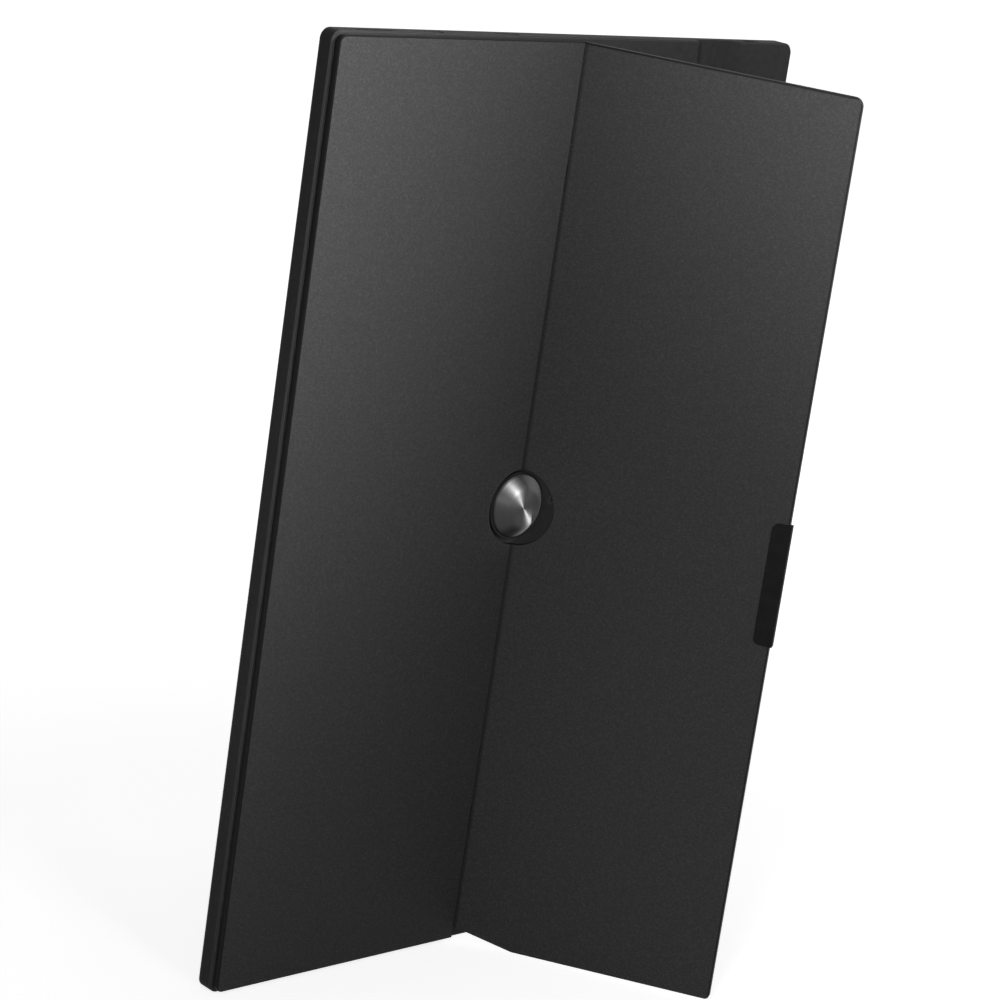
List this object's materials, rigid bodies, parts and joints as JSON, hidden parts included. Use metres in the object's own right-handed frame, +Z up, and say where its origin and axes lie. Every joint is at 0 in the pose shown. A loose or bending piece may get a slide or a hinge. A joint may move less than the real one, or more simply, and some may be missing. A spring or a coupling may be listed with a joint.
{
  "type": "portable monitor",
  "caption": "Slim portable monitor standing in portrait on a short edge, with half of its back cover folded out on a long friction hinge as the stand.",
  "frame": {"origin": "centre of the footprint on the surface it stands on, at rest with the cover folded out", "axes": "+Z up the long side of the body, +Y towards the screen side, -Y towards the folded-out cover, +X to the free edge of the cover"},
  "size_m": [0.2364, 0.1016, 0.358],
  "materials": {
    "housing": "fine matt",
    "cover": "fine sparkle matt paint",
    "seat": "matt",
    "turned_metal": "turned, dark anodised",
    "steel": "satin",
    "bezel": "matt",
    "screen": "anti-glare",
    "cell": "smooth",
    "diffuser": "matt",
    "guide": "clear",
    "led": "matt",
    "tray": "mill",
    "board": "solder mask",
    "flex": "film",
    "port_shell": "plated",
    "cable": "flat ribbon",
    "speaker": "matt",
    "light_pipe": "clear",
    "button": "fine matt",
    "hinge": "dark plated",
    "magnet": "nickel plated",
    "liner": "matt",
    "pad": "matt"
  },
  "bodies": {
    "monitor": {"rear_housing": "housing", "fixed_cover": "cover", "hub_seat": "seat", "hub_cap": "turned_metal", "hub_nut": "steel", "front_bezel": "bezel", "matt_film": "screen", "display_cell": "cell", "diffuser_sheets": "diffuser", "light_guide": "guide", "led_strip": "led", "backlight_tray": "tray", "driver_board": "board", "driver_flex": "flex", "main_board": "board", "shield_can": "tray", "usb_c_port_a": "port_shell", "usb_c_port_b": "port_shell", "mini_hdmi_port": "port_shell", "port_board": "board", "port_cable": "cable", "speaker_upper": "speaker", "speaker_lower": "speaker", "button_board": "board", "light_pipe": "light_pipe", "hinge_brackets": "hinge", "hinge_pins": "steel", "bracket_screws": "steel", "housing_screws": "steel", "keeper_magnets": "magnet"},
    "cover": {"folding_cover": "cover", "cover_liner": "liner", "cover_magnets": "magnet", "rubber_pad": "pad", "cover_leaves": "hinge", "leaf_screws": "steel"},
    "power_key": {"power_button": "button"},
    "menu_up_key": {"menu_up_button": "button"},
    "menu_down_key": {"menu_down_button": "button"}
  },
  "joints": [
    {"name": "cover_hinge", "type": "hinge", "parent": "monitor", "child": "cover", "pos_m": [0.00175, 0.042, 0.179], "axis": [0, 0, -1], "range_deg": [-60, 30]},
    {"name": "power_press", "type": "slide", "parent": "monitor", "child": "power_key", "axis": [-1, 0, 0], "range_m": [0, 0.0004], "stiffness_N_per_m": 600, "springref_m": -0.0008},
    {"name": "menu_up_press", "type": "slide", "parent": "monitor", "child": "menu_up_key", "axis": [-1, 0, 0], "range_m": [0, 0.0004], "stiffness_N_per_m": 600, "springref_m": -0.0008},
    {"name": "menu_down_press", "type": "slide", "parent": "monitor", "child": "menu_down_key", "axis": [-1, 0, 0], "range_m": [0, 0.0004], "stiffness_N_per_m": 600, "springref_m": -0.0008}
  ]
}
